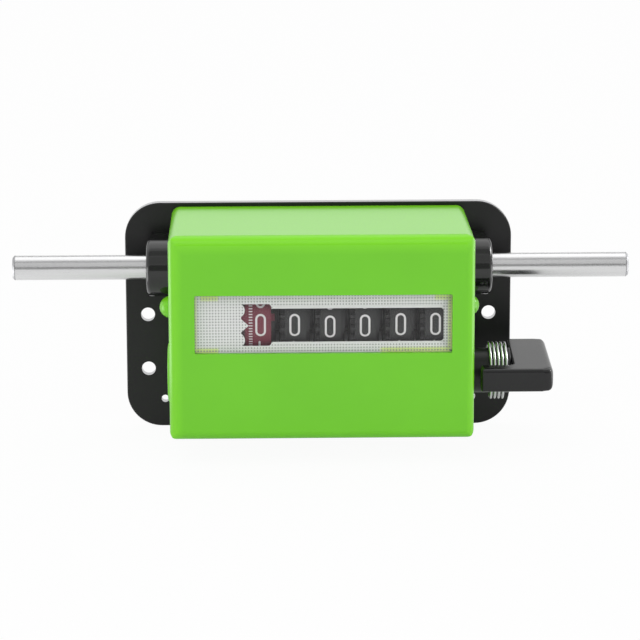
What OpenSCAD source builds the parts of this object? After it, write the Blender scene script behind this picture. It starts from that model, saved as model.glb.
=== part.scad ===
// Fabric measuring meter: a shaft-driven length counter with six number wheels and a sprung reset lever.
// X runs along the main shaft, -Y towards the reader and Z up. The origin is the middle of the plate's back.

/* [Base plate] */
// Width of the plate
plate_w = 126.8; // [124:0.1:140]
// Height of the plate
plate_h = 75.2; // [72:0.2:90]
// Thickness of the plate
plate_t = 3.5; // [3:0.1:4.5]
// Radius of the plate's corners
plate_r = 11.5; // [8:0.5:16]
// Chamfer round the plate's front edge
plate_chamfer = 0.3; // [0.2:0.1:1]
// Distance between the left and right mounting holes
mount_span_x = 112.4; // [110:0.2:114]
// Distance between the upper and lower mounting holes
mount_span_z = 18.3; // [14:0.1:24]
// Height of the middle of the four mounting holes
mount_z = -8.85; // [-12:0.05:-6]
// Diameter of the mounting holes
mount_d = 4.6; // [3.4:0.1:5.5]
// Diameter of the small locating holes
locating_d = 2.5; // [2:0.1:3]
// Distance between the small locating holes
locating_span_x = 101.7; // [100:0.1:104]
// Height of the small locating holes
locating_z = -28.3; // [-30:0.1:-26]

/* [Main shaft] */
// Diameter of the shaft
shaft_d = 8; // [6:0.5:8.5]
// Length of the shaft
shaft_l = 200; // [150:1:260]
// Distance from the plate's front to the shaft's axis
shaft_gap = 10.5; // [10.3:0.1:12]
// Height of the shaft's axis
shaft_z = 18.4; // [17.5:0.1:19]
// How far the shaft stands out more on the right
shaft_shift = 0.6; // [0:0.1:2]
// Chamfer on the shaft's ends
shaft_chamfer = 0.6; // [0.2:0.1:1]
// Outer radius of the bearing housings
housing_r = 9.5; // [8.5:0.1:9.6]
// Distance from the middle to a housing's outer end
housing_reach = 56; // [54:0.5:58]
// Round on a housing's outer end
housing_round = 1.5; // [0.5:0.1:2]
// Wall of the bronze bushes
bush_wall = 2; // [1:0.1:2.5]

/* [Cover] */
// Width of the cover
cover_w = 96; // [95:0.5:98]
// Height of the cover
cover_h = 65.4; // [64:0.1:70]
// Height of the cover's top above the origin
cover_top = 36.3; // [35.8:0.1:38]
// Distance from the plate's back to the cover's front
cover_reach = 55.35; // [55:0.05:60]
// Wall of the cover
cover_wall = 2; // [1.8:0.1:2.4]
// Round on the cover's outer edges
cover_round = 2.8; // [1:0.1:3]
// Radius of the lugs over the transfer shaft's ends
lug_r = 3.6; // [3:0.1:3.8]
// How far the lugs' centres lie inside the cover's sides, below zero for outside
lug_sink = -0.2; // [-0.2:0.1:1]
// Radius of the round boss over the reset shaft's left end
end_boss_r = 9.5; // [8:0.1:10]
// How far that boss stands out
end_boss_proud = 0.9; // [0.8:0.1:2]
// Distance from the cover's inner walls to the screw posts' axes
post_in = 3.4; // [3:0.1:4]
// Distance between the left and right screw posts
post_span = 76; // [72:0.5:77]
// Length of the screw posts
post_l = 12; // [10:0.5:16]

/* [Window] */
// Left edge of the opening in the cover
window_left = -39.85; // [-40:0.05:-38]
// Right edge of the opening
window_right = 40.85; // [39.5:0.05:41]
// Lower edge of the opening
window_low = -1.15; // [-2.5:0.05:-0.5]
// Upper edge of the opening
window_high = 17.55; // [17:0.05:18.5]
// How far the pane's face lies behind the cover's face
pane_recess = 0.6; // [0.2:0.1:1]
// Width of the pane's rim behind the cover's wall
pane_rim = 1.4; // [1:0.1:2]
// Thickness of the pane's rim
pane_rim_t = 0.6; // [0.4:0.1:0.7]
// Thickness of the mask behind the pane
mask_t = 0.25; // [0.2:0.05:0.3]
// Left edge of the reading aperture
aperture_left = -25.3; // [-26:0.1:-24.5]
// Right edge of the aperture's tall part, over the tenths wheel
aperture_step = -15.8; // [-16:0.1:-15.2]
// Right edge of the aperture
aperture_right = 38.25; // [38:0.05:39]
// Height of the aperture's tall part
aperture_tall = 13.4; // [12:0.1:14]
// Height of the aperture's low part
aperture_low = 10.7; // [9:0.1:11.5]
// Length of the index pointer
pointer_l = 2.35; // [1.5:0.05:2.6]

/* [Number wheels] */
// Radius of the number wheels
drum_r = 14.3; // [13:0.1:14.4]
// Width of a number wheel
drum_w = 6.6; // [6:0.1:6.8]
// Distance from one wheel to the next
wheel_pitch = 11; // [10.9:0.02:11.02]
// Middle of the first wheel's figures
first_wheel_x = -19.2; // [-19.4:0.05:-19.1]
// Width of the graduated part of the tenths wheel
scale_w = 4; // [3:0.1:4.5]
// Distance from the plate's back to the wheels' axle
axle_reach = 37.6; // [37.4:0.05:37.7]
// Height of the wheels' axle
axle_z = 7.2; // [7:0.05:7.4]
// Diameter of the wheels' axle
axle_d = 4; // [3:0.1:4]
// Thickness of a wheel's rim
rim_t = 1.5; // [1:0.1:2]
// Thickness of a wheel's web
web_t = 1.5; // [1:0.1:2]
// Radius of a wheel's hub
hub_r = 3; // [2.8:0.1:3.2]
// Width of a locking disc
lock_w = 1.2; // [1:0.05:1.2]
// Width of a heart cam
cam_w = 1.2; // [1:0.05:1.2]
// Largest radius of a heart cam
cam_high = 7; // [6:0.1:7.5]
// Smallest radius of a heart cam
cam_low = 3.9; // [3.8:0.05:4.5]

/* [Gears] */
// Module of the drive gear and the idler
drive_module = 0.8; // [0.78:0.01:0.82]
// Teeth of the drive gear and of the idler
drive_teeth = 17; // [17:1:17]
// Width of the drive gear
drive_w = 3.5; // [3:0.1:3.5]
// Module of the idler's pinion and the tenths wheel's gear
tenths_module = 0.7; // [0.69:0.01:0.71]
// Teeth of the idler's pinion
pinion_teeth = 12; // [12:1:12]
// Teeth of the tenths wheel's gear
tenths_teeth = 36; // [36:1:36]
// Width of the tenths wheel's gear
tenths_w = 3; // [2.5:0.1:3]
// Teeth of a carry pinion
carry_teeth = 8; // [8:2:8]
// Teeth of the gear on each later wheel
wheel_teeth = 20; // [20:1:20]
// Width of the gear on each later wheel
wheel_gear_w = 1.4; // [1.2:0.05:1.4]
// Height of the carry teeth above the pitch circle, in modules
stub = 0.8; // [0.7:0.05:0.9]
// Pressure angle of all the gears
pressure_angle = 20; // [20:0.5:25]
// Free play between meshing teeth
backlash = 0.13; // [0.1:0.01:0.2]
// Diameter of the transfer shaft
transfer_d = 3; // [2.5:0.1:3.2]

/* [Side plates] */
// Distance from the middle to a side plate's inner face
side_in = 42; // [41.9:0.05:42.1]
// Thickness of a side plate
side_t = 2.5; // [2:0.1:2.5]
// Thickness of a side plate's foot
foot_t = 2; // [1.5:0.1:2.2]
// Width of a side plate's foot
foot_w = 10; // [8:0.5:11]

/* [Reset] */
// Distance from the plate's back to the reset shaft
reset_reach = 33; // [32.5:0.1:33.5]
// Height of the reset shaft
reset_z = -12.2; // [-12.8:0.1:-12]
// Diameter of the reset shaft
reset_d = 5; // [4:0.1:5.2]
// Stroke of the lever in degrees
stroke = 25; // [15:1:25]
// Radius of the boss that carries the spring
spring_boss_r = 7.2; // [6.5:0.1:7.3]
// Outer radius of the comb's sleeve
comb_r = 4.2; // [3.6:0.1:4.5]
// Width of a comb finger
finger_w = 1; // [0.8:0.05:1.1]
// Distance from the middle to the lever arm's left face
lever_x = 61.1; // [60.5:0.1:62]
// Width of the lever's arm
arm_w = 12.4; // [11:0.1:14]
// Thickness of the lever's arm and bar
lever_h = 7.5; // [6.6:0.1:9]
// How far the lever's middle lies above the reset shaft
lever_rise = 1.75; // [0.5:0.05:1.8]
// Distance from the reset shaft to the lever's front
lever_front = 17; // [16:0.1:19]
// Distance from the reset shaft to the arm's rear end
lever_rear = 16.6; // [16:0.1:22]
// Slope of the lever from its front up to its rear, in degrees
lever_tilt = 4.5; // [0:0.5:6]
// Thickness of the lever's front bar
bar_t = 5.5; // [4:0.1:6]
// Distance from the middle to the front bar's left end
bar_left = 50.5; // [50:0.1:52]
// Round on the lever's outer edges
lever_round = 1; // [0.8:0.1:2]
// Round on the edges of the lever's right side
lever_side_round = 1.6; // [1:0.1:2]

/* [Reset spring] */
// Diameter of the spring wire
wire_d = 0.8; // [0.7:0.05:1]
// Mean radius of the coil
coil_r = 8.85; // [8.8:0.05:9.2]
// Step from one turn to the next
coil_pitch = 1.25; // [1.24:0.01:1.46]
// Full turns of the coil
coil_turns = 4; // [3:1:4]
// Straight wire between the coil and the lever
coil_lead = 0.9; // [0.1:0.1:1.2]

/* [Fits] */
// Radial clearance where a shaft turns in a hole
run_clear = 0.05; // [0.02:0.01:0.08]
// Gap between pieces that pass or face each other
gap = 0.3; // [0.25:0.01:0.35]
// End play between wheels, pinions and collars
end_play = 0.1; // [0.06:0.01:0.15]
// Clearance that keeps fingers and discs off what turns past them
pass_clear = 0.25; // [0.2:0.01:0.3]

/* [Screws and clips] */
// Diameter of the small screws
screw_d = 2.9; // [2.5:0.1:3]
// Diameter of the countersunk heads
head_d = 5.6; // [5:0.1:6]
// Thickness of the retaining clips
clip_t = 0.6; // [0.4:0.05:0.7]
// How far a shaft stands out past its clip
clip_end = 0.5; // [0.3:0.05:0.6]
// Diameter of the comb's cross pins
cross_pin_d = 1.5; // [1.2:0.1:1.8]

/* [Hidden] */
$fn = 48;
orders = ["tenths", "units", "tens", "hundreds", "thousands", "ten_thousands"];
wheels = len(orders);
flank_steps = 3;

// Places along X
wheel_x = [for (k = [0 : wheels - 1]) first_wheel_x + k * wheel_pitch];
side_out = side_in + side_t;
boss_in = side_out + 0.2;
cover_in = cover_w / 2 - cover_wall;
drum_left = [for (k = [0 : wheels - 1]) wheel_x[k] - drum_w / 2 - (k == 0 ? scale_w : 0)];
drum_right = [for (x = wheel_x) x + drum_w / 2];
tenths_gear_x = drum_left[0] - tenths_w;
cam_x = [for (x = drum_right) x + lock_w];
hub_right = [for (x = wheel_x) x + wheel_pitch - drum_w / 2 - wheel_gear_w - 2 * gap + end_play];
hub_left = [for (k = [0 : wheels - 1]) k == 0 ? tenths_gear_x - 2 * gap : hub_right[k - 1] + end_play];
idler_gear_x = tenths_gear_x - gap - drive_w;
shaft_left = shaft_shift - shaft_l / 2;
groove_in = housing_reach - 0.9;
groove_w = 1;
groove_depth = 0.3;
drive_hub_left = -side_in + gap;
drive_screw_x = (drive_hub_left + idler_gear_x) / 2;
collar_right = side_in - gap;
collar_l = 6;
collar_screw_x = collar_right - collar_l / 2;
axle_end = side_out + clip_t + clip_end;
comb_left = -side_in + gap;
comb_right = side_in - gap;
comb_pin_x = [comb_left + 12, first_wheel_x + 0.6];
spring_seat_x = cover_w / 2 + 2;
lever_bore_end = lever_x + arm_w - 3.5;
lever_screw_x = (lever_x + lever_bore_end) / 2;

// Places in the plane across the shaft, as [y, z]
plate_front = -plate_t;
main_axis = [plate_front - shaft_gap, shaft_z];
wheel_axis = [-axle_reach, axle_z];
reset_axis = [-reset_reach, reset_z];
drive_distance = drive_module * drive_teeth;
tenths_distance = tenths_module * (pinion_teeth + tenths_teeth) / 2;
// The transfer shaft lies where its two gear distances meet, behind and below the line of the other axes
transfer_axis = meet(main_axis, drive_distance, wheel_axis, tenths_distance);
carry_module = tenths_distance * 2 / (carry_teeth + wheel_teeth);
carry_tip = carry_module * (carry_teeth / 2 + stub);
collar_r = shaft_d / 2 + 2.6;
foot_low = reset_z - 3.4;
foot_high = shaft_z + 7.4;
lock_r = tenths_distance - carry_tip - pass_clear;
to_transfer = heading(main_axis, transfer_axis);
to_wheels = heading(transfer_axis, wheel_axis);

// Cover and window
cover_low = cover_top - cover_h;
cover_front = -cover_reach;
cover_in_top = cover_top - cover_wall;
cover_in_low = cover_low + cover_wall;
pane_back = cover_front + cover_wall + pane_rim_t;
post_x = post_span / 2;
post_z = [cover_in_top - post_in, cover_in_low + post_in];
aperture_r = 1.1;
bite_r = 2.4;
bite_in = 1.15;

// Reset gear
reset_to_wheels = heading(reset_axis, wheel_axis);
finger_r = 1.2;
finger_l = norm(wheel_axis - reset_axis) - cam_high - pass_clear;
lever_hub_r = min(lever_h / 2 + lever_rise - 0.2, reset_d / 2 + 2.1);
lever_low = reset_z + lever_rise - lever_h / 2;
leg_depth = 1.5;
leg_hole_r = wire_d / 2 + 0.15;
leg_angle = 160;
bend_r = 0.9;

// Functions
function polar(r, a) = [r * cos(a), r * sin(a)];
function heading(p, q) = atan2(q.y - p.y, q.x - p.x);
function meet(p, rp, q, rq) =
    let (d = norm(q - p), along = (rp ^ 2 - rq ^ 2 + d ^ 2) / (2 * d), across = sqrt(rp ^ 2 - along ^ 2),
         u = (q - p) / d)
    p + along * u + across * [-u.y, u.x];
function involute(a) = tan(a) * 180 / PI - a;
function half_tooth(z, m, r) =
    90 / z - backlash / (z * m) * 180 / PI + involute(pressure_angle)
    - involute(acos(min(1, z * m / 2 * cos(pressure_angle) / r)));
function tooth(z, m, height, at) =
    let (base = z * m / 2 * cos(pressure_angle), root = z * m / 2 - (height + 0.25) * m,
         tip = z * m / 2 + height * m, start = max(base, root),
         radii = [for (i = [0 : flank_steps]) start + (tip - start) * i / flank_steps],
         foot = root < base ? [root] : [])
    concat(
        [for (r = foot) polar(r, at - half_tooth(z, m, start))],
        [for (r = radii) polar(r, at - half_tooth(z, m, r))],
        [for (i = [flank_steps : -1 : 0]) polar(radii[i], at + half_tooth(z, m, radii[i]))],
        [for (r = foot) polar(r, at + half_tooth(z, m, start))]
    );
// Radius of a heart cam at an angle from its notch
function heart(a) = cam_low + (cam_high - cam_low) * (180 - abs(180 - a)) / 180;

// Outlines
module rounded(low, high, r) {
    translate([low.x + r, low.y]) square([high.x - low.x - 2 * r, high.y - low.y]);
    translate([low.x, low.y + r]) square([high.x - low.x, high.y - low.y - 2 * r]);
    for (x = [low.x + r, high.x - r], y = [low.y + r, high.y - r]) translate([x, y]) circle(r = r);
}
module gear_outline(z, m, height, phase, every = 1) {
    root = z * m / 2 - (height + 0.25) * m;
    polygon([for (i = [0 : z - 1]) let (at = phase + i * 360 / z)
        each i % every == 0 ? tooth(z, m, height, at) : [for (b = [-8, 0, 8]) polar(root, at + b)]]);
}
// Two circles with a strip between them, its edges a hair inside their tangents
module link(p, rp, q, rq) {
    turn = acos((rp - rq) / norm(q - p));
    way = heading(p, q);
    hair = 0.02;
    translate(p) circle(r = rp);
    translate(q) circle(r = rq);
    polygon([p + polar(rp - hair, way + turn), p + polar(rp - hair, way - turn),
        q + polar(rq - hair, way - turn), q + polar(rq - hair, way + turn)]);
}

// Placing
module on_axis(axis, x = 0) translate([x, axis.x, axis.y]) rotate([90, 0, 90]) children();
module rod(axis, r, from, to) on_axis(axis, from) cylinder(r = r, h = to - from);
module along_y(from, to) translate([0, to, 0]) rotate([90, 0, 0]) linear_extrude(to - from) children();
module along_z(from, to) translate([0, 0, from]) linear_extrude(to - from) children();
module both_sides() {
    children();
    mirror([1, 0, 0]) children();
}
// A shaft with chamfered ends
module pin_rod(axis, r, from, to, chamfer) on_axis(axis, from) rotate_extrude() polygon([
    [0, 0], [r - chamfer, 0], [r, chamfer], [r, to - from - chamfer], [r - chamfer, to - from], [0, to - from]]);

// Base plate
module mount_holes() {
    for (x = [-1, 1] * mount_span_x / 2, z = [-1, 1] * mount_span_z / 2)
        translate([x, 0, mount_z + z]) children();
}
module locating_holes() for (x = [-1, 1] * locating_span_x / 2) translate([x, 0, locating_z]) children();
module cover_posts() for (x = [-post_x, post_x], z = post_z) translate([x, 0, z]) children();
module foot_screws() for (z = [mount_z + 1, axle_z - 3]) translate([side_out - foot_w / 2 - 1, 0, z]) children();
module through_y(r) rotate([90, 0, 0]) translate([0, 0, -1]) cylinder(r = r, h = plate_t + 2);
// Section of the plate's edge: half a width, the thickness, and the chamfer at the front
function plate_section(half) = [
    [0, 0], [half, 0], [half, plate_t - plate_chamfer], [half - plate_chamfer, plate_t], [0, plate_t]];
// The plate lying on its back: two crossing slabs with round corners, all with the same chamfered section
module plate_slab(half, length) for (side = [0, 1]) mirror([side, 0, 0]) translate([0, length / 2, 0])
    rotate([90, 0, 0]) linear_extrude(length) polygon(plate_section(half));
module plate_blank() {
    plate_slab(plate_w / 2, plate_h - 2 * plate_r);
    rotate(90) plate_slab(plate_h / 2, plate_w - 2 * plate_r);
    for (x = [-1, 1] * (plate_w / 2 - plate_r), y = [-1, 1] * (plate_h / 2 - plate_r))
        translate([x, y]) rotate_extrude() polygon(plate_section(plate_r));
}
// A housing that stands on the plate: a round boss with a web back to the plate
module standing_boss(axis, r, from, web_to, to, end_round) {
    on_axis(axis, from) rotate_extrude() {
        square([r - end_round, to - from]);
        square([r, to - from - end_round]);
        translate([r - end_round, to - from - end_round]) circle(r = end_round);
    }
    translate([from, axis.x, axis.y - r]) cube([web_to - from, plate_front - axis.x + 0.5, 2 * r]);
}
module base_plate() color([0.16, 0.16, 0.165]) difference() {
    union() {
        rotate([90, 0, 0]) plate_blank();
        both_sides() standing_boss(main_axis, housing_r, boss_in, housing_reach - housing_round, housing_reach,
            housing_round);
        standing_boss(reset_axis, spring_boss_r, boss_in, spring_seat_x, lever_x - gap, 0.4);
    }
    both_sides() rod(main_axis, shaft_d / 2 + run_clear + bush_wall, boss_in - 1, housing_reach + 1);
    rod(reset_axis, reset_d / 2 + run_clear, boss_in - 1, lever_x);
    mount_holes() through_y(mount_d / 2);
    locating_holes() through_y(locating_d / 2);
    cover_posts() {
        through_y(screw_d / 2);
        rotate([90, 0, 0]) cylinder(r1 = head_d / 2, r2 = screw_d / 2, h = (head_d - screw_d) / 2);
    }
    both_sides() foot_screws() translate([0, plate_front + plate_t - 0.6, 0]) rotate([90, 0, 0])
        cylinder(r = screw_d / 2, h = plate_t);
}
module bush(side) color([0.72, 0.53, 0.28]) mirror([side < 0 ? 1 : 0, 0, 0]) difference() {
    rod(main_axis, shaft_d / 2 + run_clear + bush_wall, boss_in, housing_reach - 0.2);
    rod(main_axis, shaft_d / 2 + run_clear, boss_in - 1, housing_reach + 1);
}

// Side plates
module side_outline() {
    top = [plate_front - foot_t - 1.5, shaft_z + 5];
    low = [plate_front - foot_t - 1.5, reset_z];
    polygon([top, main_axis, wheel_axis, reset_axis, low]);
    link(main_axis, 7, wheel_axis, 5.5);
    link(wheel_axis, 5.5, reset_axis, 6);
    link(reset_axis, 6, low, 2.3);
    link(main_axis, 7, top, 2);
    translate([plate_front - foot_t - 4, foot_low]) square([foot_t + 4, foot_high - foot_low]);
}
module side_plate(side) color([0.70, 0.71, 0.72]) mirror([side < 0 ? 1 : 0, 0, 0]) difference() {
    union() {
        on_axis([0, 0], side_in) linear_extrude(side_t) side_outline();
        translate([side_out - foot_w, plate_front - foot_t, foot_low]) cube([foot_w, foot_t, foot_high - foot_low]);
    }
    rod(main_axis, shaft_d / 2 + 2 * gap, side_in - 1, side_out + 1);
    rod(wheel_axis, axle_d / 2, side_in - 1, side_out + 1);
    rod(transfer_axis, transfer_d / 2, side_in - 1, side_out + 1);
    rod(reset_axis, reset_d / 2 + run_clear, side_in - 1, side_out + 1);
    foot_screws() translate([0, plate_front + 1, 0]) rotate([90, 0, 0]) cylinder(r = screw_d / 2, h = foot_t + 2);
}
module side_plate_screws() color([0.75, 0.76, 0.78]) both_sides() foot_screws() difference() {
    translate([0, plate_front, 0]) rotate([90, 0, 0]) {
        translate([0, 0, 0.7 - plate_t]) cylinder(r = screw_d / 2, h = plate_t + foot_t - 0.7);
        translate([0, 0, foot_t]) cylinder(r = head_d / 2, h = 1.3);
    }
    translate([0, plate_front - foot_t - 0.7, 0]) rotate([90, 0, 0]) linear_extrude(2)
        for (a = [0, 90]) rotate(a) square([3, 0.7], center = true);
}

// Cover
module cover_block(low, high, r) intersection() {
    along_y(low.y, high.y) rounded([low.x, low.z], [high.x, high.z], r);
    along_z(low.z - 1, high.z + 1) rounded([low.x, low.y], [high.x, high.y + 3 * r], r);
    on_axis([0, 0], low.x - 1) linear_extrude(high.x - low.x + 2)
        rounded([low.y, low.z], [high.y + 3 * r, high.z], r);
}
// A notch in a cover side, open at the rear, for a housing to pass through
module side_notch(axis, r) on_axis(axis, cover_in - 0.5) linear_extrude(cover_wall + 1) {
    circle(r = r);
    translate([0, -r]) square([plate_front - axis.x + 1, 2 * r]);
}
module window_opening(extra) along_y(cover_front - 1, cover_front + cover_wall + 1)
    rounded([window_left - extra, window_low - extra], [window_right + extra, window_high + extra], 0.4 + extra);
module cover() color([0.46, 0.81, 0.24]) difference() {
    union() {
        difference() {
            union() {
                cover_block([-cover_w / 2, cover_front, cover_low], [cover_w / 2, plate_front, cover_top],
                    cover_round);
                both_sides() on_axis(transfer_axis, cover_w / 2 - lug_sink) sphere(r = lug_r);
                mirror([1, 0, 0]) on_axis(reset_axis, cover_w / 2 - 0.5) rotate_extrude() {
                    square([end_boss_r - 0.6, end_boss_proud + 0.5]);
                    square([end_boss_r, end_boss_proud - 0.1]);
                    translate([end_boss_r - 0.6, end_boss_proud - 0.1]) circle(r = 0.6);
                }
            }
            cover_block([-cover_in, cover_front + cover_wall, cover_in_low],
                [cover_in, plate_front + 1, cover_in_top], cover_round / 2);
        }
        for (x = [-post_x, post_x], side = [0, 1]) translate([x, 0, post_z[side]]) {
            along_y(plate_front - post_l, plate_front) circle(r = post_in - 0.4);
            translate([-1, plate_front - post_l, side == 0 ? 0 : -post_in - 0.5])
                cube([2, post_l, post_in + 0.5]);
        }
    }
    both_sides() {
        on_axis(transfer_axis, cover_w / 2 - lug_sink) sphere(r = lug_r - 1.5);
        rod(transfer_axis, lug_r - 1.5, cover_in - lug_r, cover_w / 2 - lug_sink);
        side_notch(main_axis, housing_r + gap);
    }
    mirror([1, 0, 0]) rod(reset_axis, end_boss_r - 2, cover_in - 4, cover_w / 2 + end_boss_proud - 1.6);
    side_notch(reset_axis, spring_boss_r + gap);
    window_opening(0);
    cover_posts() along_y(plate_front - post_l + 2, plate_front + 1) circle(r = screw_d / 2);
}
module cover_screws() color([0.75, 0.76, 0.78]) difference() {
    cover_posts() rotate([90, 0, 0]) {
        cylinder(r1 = head_d / 2, r2 = screw_d / 2, h = (head_d - screw_d) / 2);
        cylinder(r = screw_d / 2, h = plate_t + post_l - 4);
    }
    cover_posts() translate([0, 1, 0]) rotate([90, 0, 0]) linear_extrude(1.9)
        for (a = [0, 90]) rotate(a) square([2.8, 0.6], center = true);
}

// Window
module window_pane() color([0.85, 0.9, 0.9, 0.4]) {
    along_y(cover_front + pane_recess, pane_back)
        rounded([window_left + 0.05, window_low + 0.05], [window_right - 0.05, window_high - 0.05], 0.4);
    along_y(pane_back - pane_rim_t, pane_back)
        rounded([window_left - pane_rim, window_low - pane_rim], [window_right + pane_rim, window_high + pane_rim],
            1);
}
module aperture() difference() {
    union() {
        rounded([aperture_left, axle_z - aperture_tall / 2 + 0.4], [aperture_step, axle_z + aperture_tall / 2 + 0.4],
            aperture_r);
        translate([aperture_left, axle_z - aperture_tall / 2 + 0.4]) square([2 * aperture_r, aperture_tall]);
        rounded([aperture_left + 4, axle_z - aperture_low / 2 + 0.3],
            [aperture_right, axle_z + aperture_low / 2 + 0.3], aperture_r);
    }
    for (side = [-1, 1]) translate([aperture_left + bite_in - bite_r, axle_z + 0.3 + side * 4.8]) circle(r = bite_r);
    translate([aperture_left, axle_z + 0.2]) polygon([[-0.5, 2.4], [0, 2.1], [pointer_l, 0], [0, -2.1], [-0.5, -2.4]]);
}
module window_mask() color([0.82, 0.84, 0.82]) along_y(pane_back, pane_back + mask_t) difference() {
    rounded([window_left - pane_rim + 0.2, window_low - pane_rim + 0.2],
        [window_right + pane_rim - 0.2, window_high + pane_rim - 0.2], 0.8);
    aperture();
}

// Main shaft
// A relief groove in each housing's mouth ends the ground seat of the free end
module main_shaft() color([0.8, 0.8, 0.82]) difference() {
    pin_rod(main_axis, shaft_d / 2, shaft_left, shaft_left + shaft_l, shaft_chamfer);
    both_sides() on_axis(main_axis, groove_in) rotate_extrude()
        translate([shaft_d / 2 - groove_depth, 0]) square([1, groove_w]);
}
module radial_screw(x, r_in, r_out) difference() {
    translate([x, main_axis.x, main_axis.y + r_in]) cylinder(r = screw_d / 2, h = r_out - r_in);
    translate([x, main_axis.x, main_axis.y + r_out - 1.2]) cylinder(r = 0.87, h = 2, $fn = 6);
}
module drive_gear() color([0.93, 0.92, 0.88]) difference() {
    union() {
        on_axis(main_axis, idler_gear_x) linear_extrude(drive_w)
            gear_outline(drive_teeth, drive_module, 1, to_transfer);
        rod(main_axis, collar_r, drive_hub_left, idler_gear_x - gap);
        rod(main_axis, drive_module * (drive_teeth / 2 - 1.5), drive_hub_left, idler_gear_x + 0.1);
    }
    rod(main_axis, shaft_d / 2, drive_hub_left - 1, idler_gear_x + drive_w + 1);
    translate([drive_screw_x, main_axis.x, main_axis.y]) cylinder(r = screw_d / 2, h = housing_r + 2);
}
module drive_gear_screw() color([0.25, 0.25, 0.27]) radial_screw(drive_screw_x, shaft_d / 2, collar_r - 0.3);
module shaft_collar() color([0.7, 0.7, 0.72]) difference() {
    rod(main_axis, collar_r, collar_right - collar_l, collar_right);
    rod(main_axis, shaft_d / 2, collar_right - collar_l - 1, collar_right + 1);
    translate([collar_screw_x, main_axis.x, main_axis.y]) cylinder(r = screw_d / 2, h = housing_r + 2);
}
module collar_screw() color([0.25, 0.25, 0.27]) radial_screw(collar_screw_x, shaft_d / 2, collar_r - 0.3);

// Transfer shaft, idler and carry pinions
module grooved_rod(axis, r, from, to, groove_r) difference() {
    pin_rod(axis, r, from, to, 0.3);
    for (x = [-side_out - clip_t, side_out]) if (x > from && x < to) difference() {
        rod(axis, r + 1, x, x + clip_t);
        rod(axis, groove_r, x - 1, x + clip_t + 1);
    }
}
module transfer_shaft() color([0.78, 0.78, 0.8])
    grooved_rod(transfer_axis, transfer_d / 2, -axle_end, axle_end, transfer_d / 2 - 0.4);
module idler_gear() color([0.93, 0.92, 0.88]) difference() {
    union() {
        on_axis(transfer_axis, idler_gear_x) linear_extrude(drive_w)
            gear_outline(drive_teeth, drive_module, 1, to_transfer + 180 + 180 / drive_teeth);
        on_axis(transfer_axis, idler_gear_x + drive_w - 0.1) linear_extrude(drum_left[0] - end_play * 2
            - idler_gear_x - drive_w + 0.1) gear_outline(pinion_teeth, tenths_module, 1, to_wheels);
        rod(transfer_axis, transfer_d / 2 + 1.4, -side_in + gap, idler_gear_x + 0.1);
    }
    rod(transfer_axis, transfer_d / 2 + run_clear, -side_in - 1, drum_left[0] + 1);
}
// Each carry pinion has its full teeth beside the next wheel's gear and only every second one beside the lock
module carry_pinion(k) color([0.93, 0.92, 0.88]) {
    full_x = drum_left[k] - wheel_gear_w - end_play;
    difference() {
        union() {
            on_axis(transfer_axis, full_x) linear_extrude(wheel_gear_w)
                gear_outline(carry_teeth, carry_module, stub, to_wheels);
            on_axis(transfer_axis, drum_right[k - 1] + end_play) linear_extrude(full_x - drum_right[k - 1])
                gear_outline(carry_teeth, carry_module, stub, to_wheels + 180 / carry_teeth * 2, 2);
        }
        rod(transfer_axis, transfer_d / 2 + run_clear, drum_right[k - 1], drum_left[k]);
    }
}

// Number wheels
module wheel_axle() color([0.78, 0.78, 0.8])
    grooved_rod(wheel_axis, axle_d / 2, -axle_end, axle_end, axle_d / 2 - 0.5);
module axle_spacer() color([0.72, 0.53, 0.28]) difference() {
    rod(wheel_axis, hub_r, -side_in + end_play, hub_left[0] - end_play);
    rod(wheel_axis, axle_d / 2 + run_clear, -side_in, hub_left[0]);
}
// A locking disc with the two carry teeth cut in its edge
module lock_outline() difference() {
    circle(r = lock_r);
    for (a = [-1, 0, 1]) rotate(to_wheels + 180 - 30 + a * 360 / wheel_teeth) translate([lock_r - 2, -0.9])
        square([3, 1.8]);
}
module number_wheel(k) color(k == 0 ? [0.55, 0.08, 0.12] : [0.12, 0.12, 0.13]) difference() {
    union() {
        difference() {
            rod(wheel_axis, drum_r, drum_left[k], drum_right[k]);
            rod(wheel_axis, drum_r - rim_t, drum_left[k] + web_t, drum_right[k] + 1);
        }
        rod(wheel_axis, hub_r, hub_left[k], hub_right[k]);
        rod(wheel_axis, hub_r + 1.5, drum_left[k], drum_right[k] + 0.1);
        if (k == 0) on_axis(wheel_axis, tenths_gear_x) linear_extrude(tenths_w + 0.1)
            gear_outline(tenths_teeth, tenths_module, 1, to_wheels + 180 + 180 / tenths_teeth);
        if (k > 0) on_axis(wheel_axis, drum_left[k] - wheel_gear_w) linear_extrude(wheel_gear_w + 0.1)
            gear_outline(wheel_teeth, carry_module, stub, to_wheels + 180 + 180 / wheel_teeth);
        if (k < wheels - 1) on_axis(wheel_axis, drum_right[k]) linear_extrude(lock_w) lock_outline();
        if (k == wheels - 1) rod(wheel_axis, hub_r + 1.5, drum_right[k], cam_x[k]);
    }
    rod(wheel_axis, axle_d / 2 + run_clear, hub_left[k] - 1, hub_right[k] + 1);
}
module heart_cam(k) color([0.75, 0.76, 0.78]) difference() {
    on_axis(wheel_axis, cam_x[k]) linear_extrude(cam_w)
        polygon([for (a = [0 : 10 : 350]) polar(heart(a), reset_to_wheels + 180 + a)]);
    rod(wheel_axis, hub_r, cam_x[k] - 1, cam_x[k] + cam_w + 1);
}
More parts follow.
